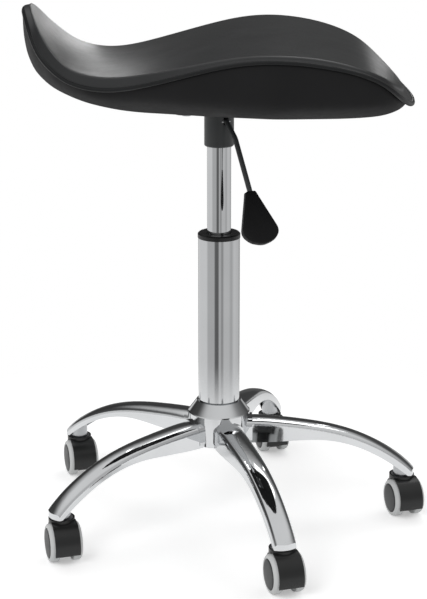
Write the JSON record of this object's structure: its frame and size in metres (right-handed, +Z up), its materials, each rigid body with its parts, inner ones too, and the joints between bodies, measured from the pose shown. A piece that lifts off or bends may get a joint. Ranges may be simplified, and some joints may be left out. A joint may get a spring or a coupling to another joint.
{
  "type": "rolling stool",
  "caption": "Rolling work stool: padded wave-shaped saddle seat on a gas lift with a release lever, chrome star base with arched arms on hooded castors.",
  "frame": {"origin": "on the floor, on the column axis", "axes": "+Z up along the column, +X the way the sitter faces, +Y to the sitter's left"},
  "size_m": [0.4708, 0.4749, 0.6162],
  "materials": {
    "chrome": "polished chrome plate",
    "steel": "bright zinc plated",
    "black_paint": "satin black powder coat",
    "bush_plastic": "satin moulded",
    "paddle_plastic": "fine grained moulding",
    "shell_plastic": "fine grained moulding",
    "hood_plastic": "semi-gloss moulding",
    "leather": "smooth faux leather with a soft sheen",
    "edge_leather": "smooth faux leather piping",
    "plywood": "raw plywood",
    "valve_alloy": "turned",
    "seal_rubber": "moulded",
    "disc_plastic": "satin moulded",
    "tyre_rubber": "soft grey tread"
  },
  "bodies": {
    "base": {"base_hub": "chrome", "base_arm_1": "chrome", "base_arm_2": "chrome", "base_arm_3": "chrome", "base_arm_4": "chrome", "base_arm_5": "chrome", "castor_sockets": "steel", "castor_stems": "steel", "column_tube": "chrome", "guide_bush": "bush_plastic", "thrust_race_lower": "steel"},
    "rod": {"piston_rod": "steel", "piston_head": "valve_alloy", "thrust_bearing": "steel", "rod_clip": "steel"},
    "seat": {"gas_cylinder": "chrome", "rod_seal": "seal_rubber", "seat_socket": "black_paint", "seat_plate": "black_paint", "plate_screws": "steel", "seat_pad": "leather", "seat_trim": "edge_leather", "seat_shell": "shell_plastic", "seat_board": "plywood", "seat_riser": "plywood", "lever_pivot_pin": "steel"},
    "lever": {"lever_rod": "black_paint", "lever_paddle": "paddle_plastic"},
    "valve": {"valve_button": "valve_alloy"},
    "castor_1": {"castor_hood_1": "hood_plastic", "castor_axle_1": "steel"},
    "wheel_1a": {"wheel_disc_1a": "disc_plastic", "wheel_tyre_1a": "tyre_rubber"},
    "wheel_1b": {"wheel_disc_1b": "disc_plastic", "wheel_tyre_1b": "tyre_rubber"},
    "castor_2": {"castor_hood_2": "hood_plastic", "castor_axle_2": "steel"},
    "wheel_2a": {"wheel_disc_2a": "disc_plastic", "wheel_tyre_2a": "tyre_rubber"},
    "wheel_2b": {"wheel_disc_2b": "disc_plastic", "wheel_tyre_2b": "tyre_rubber"},
    "castor_3": {"castor_hood_3": "hood_plastic", "castor_axle_3": "steel"},
    "wheel_3a": {"wheel_disc_3a": "disc_plastic", "wheel_tyre_3a": "tyre_rubber"},
    "wheel_3b": {"wheel_disc_3b": "disc_plastic", "wheel_tyre_3b": "tyre_rubber"},
    "castor_4": {"castor_hood_4": "hood_plastic", "castor_axle_4": "steel"},
    "wheel_4a": {"wheel_disc_4a": "disc_plastic", "wheel_tyre_4a": "tyre_rubber"},
    "wheel_4b": {"wheel_disc_4b": "disc_plastic", "wheel_tyre_4b": "tyre_rubber"},
    "castor_5": {"castor_hood_5": "hood_plastic", "castor_axle_5": "steel"},
    "wheel_5a": {"wheel_disc_5a": "disc_plastic", "wheel_tyre_5a": "tyre_rubber"},
    "wheel_5b": {"wheel_disc_5b": "disc_plastic", "wheel_tyre_5b": "tyre_rubber"}
  },
  "joints": [
    {"name": "seat_swivel", "type": "hinge", "parent": "base", "child": "rod", "pos_m": [0, 0, 0.1], "axis": [0, 0, 1], "continuous": true},
    {"name": "height_lift", "type": "slide", "parent": "rod", "child": "seat", "axis": [0, 0, 1], "range_m": [-0.095, 0]},
    {"name": "lever_lift", "type": "hinge", "parent": "seat", "child": "lever", "pos_m": [0.00737, -0.01386, 0.4845], "axis": [-0.8829, -0.4695, 0], "range_deg": [0, 8]},
    {"name": "valve_press", "type": "slide", "parent": "seat", "child": "valve", "axis": [0, 0, -1], "range_m": [0, 0.00221]},
    {"name": "castor_swivel_1", "type": "hinge", "parent": "base", "child": "castor_1", "pos_m": [0.2218, 0, 0.048], "axis": [0, 0, 1], "continuous": true},
    {"name": "wheel_roll_1a", "type": "hinge", "parent": "castor_1", "child": "wheel_1a", "pos_m": [0.22421, -0.00784, 0.022], "axis": [0.9558, 0.294, 0], "continuous": true},
    {"name": "wheel_roll_1b", "type": "hinge", "parent": "castor_1", "child": "wheel_1b", "pos_m": [0.22421, -0.00784, 0.022], "axis": [0.9558, 0.294, 0], "continuous": true},
    {"name": "castor_swivel_2", "type": "hinge", "parent": "base", "child": "castor_2", "pos_m": [0.06854, 0.21094, 0.048], "axis": [0, 0, 1], "continuous": true},
    {"name": "wheel_roll_2a", "type": "hinge", "parent": "castor_2", "child": "wheel_2a", "pos_m": [0.07095, 0.20311, 0.022], "axis": [0.9558, 0.294, 0], "continuous": true},
    {"name": "wheel_roll_2b", "type": "hinge", "parent": "castor_2", "child": "wheel_2b", "pos_m": [0.07095, 0.20311, 0.022], "axis": [0.9558, 0.294, 0], "continuous": true},
    {"name": "castor_swivel_3", "type": "hinge", "parent": "base", "child": "castor_3", "pos_m": [-0.17944, 0.13037, 0.048], "axis": [0, 0, 1], "continuous": true},
    {"name": "wheel_roll_3a", "type": "hinge", "parent": "castor_3", "child": "wheel_3a", "pos_m": [-0.17703, 0.12253, 0.022], "axis": [0.9558, 0.294, 0], "continuous": true},
    {"name": "wheel_roll_3b", "type": "hinge", "parent": "castor_3", "child": "wheel_3b", "pos_m": [-0.17703, 0.12253, 0.022], "axis": [0.9558, 0.294, 0], "continuous": true},
    {"name": "castor_swivel_4", "type": "hinge", "parent": "base", "child": "castor_4", "pos_m": [-0.17944, -0.13037, 0.048], "axis": [0, 0, 1], "continuous": true},
    {"name": "wheel_roll_4a", "type": "hinge", "parent": "castor_4", "child": "wheel_4a", "pos_m": [-0.17703, -0.13821, 0.022], "axis": [0.9558, 0.294, 0], "continuous": true},
    {"name": "wheel_roll_4b", "type": "hinge", "parent": "castor_4", "child": "wheel_4b", "pos_m": [-0.17703, -0.13821, 0.022], "axis": [0.9558, 0.294, 0], "continuous": true},
    {"name": "castor_swivel_5", "type": "hinge", "parent": "base", "child": "castor_5", "pos_m": [0.06854, -0.21094, 0.048], "axis": [0, 0, 1], "continuous": true},
    {"name": "wheel_roll_5a", "type": "hinge", "parent": "castor_5", "child": "wheel_5a", "pos_m": [0.07095, -0.21878, 0.022], "axis": [0.9558, 0.294, 0], "continuous": true},
    {"name": "wheel_roll_5b", "type": "hinge", "parent": "castor_5", "child": "wheel_5b", "pos_m": [0.07095, -0.21878, 0.022], "axis": [0.9558, 0.294, 0], "continuous": true}
  ],
  "couplings": [
    {"joint": "valve_press", "follows": "lever_lift", "m_per_rad": 0.0158}
  ]
}
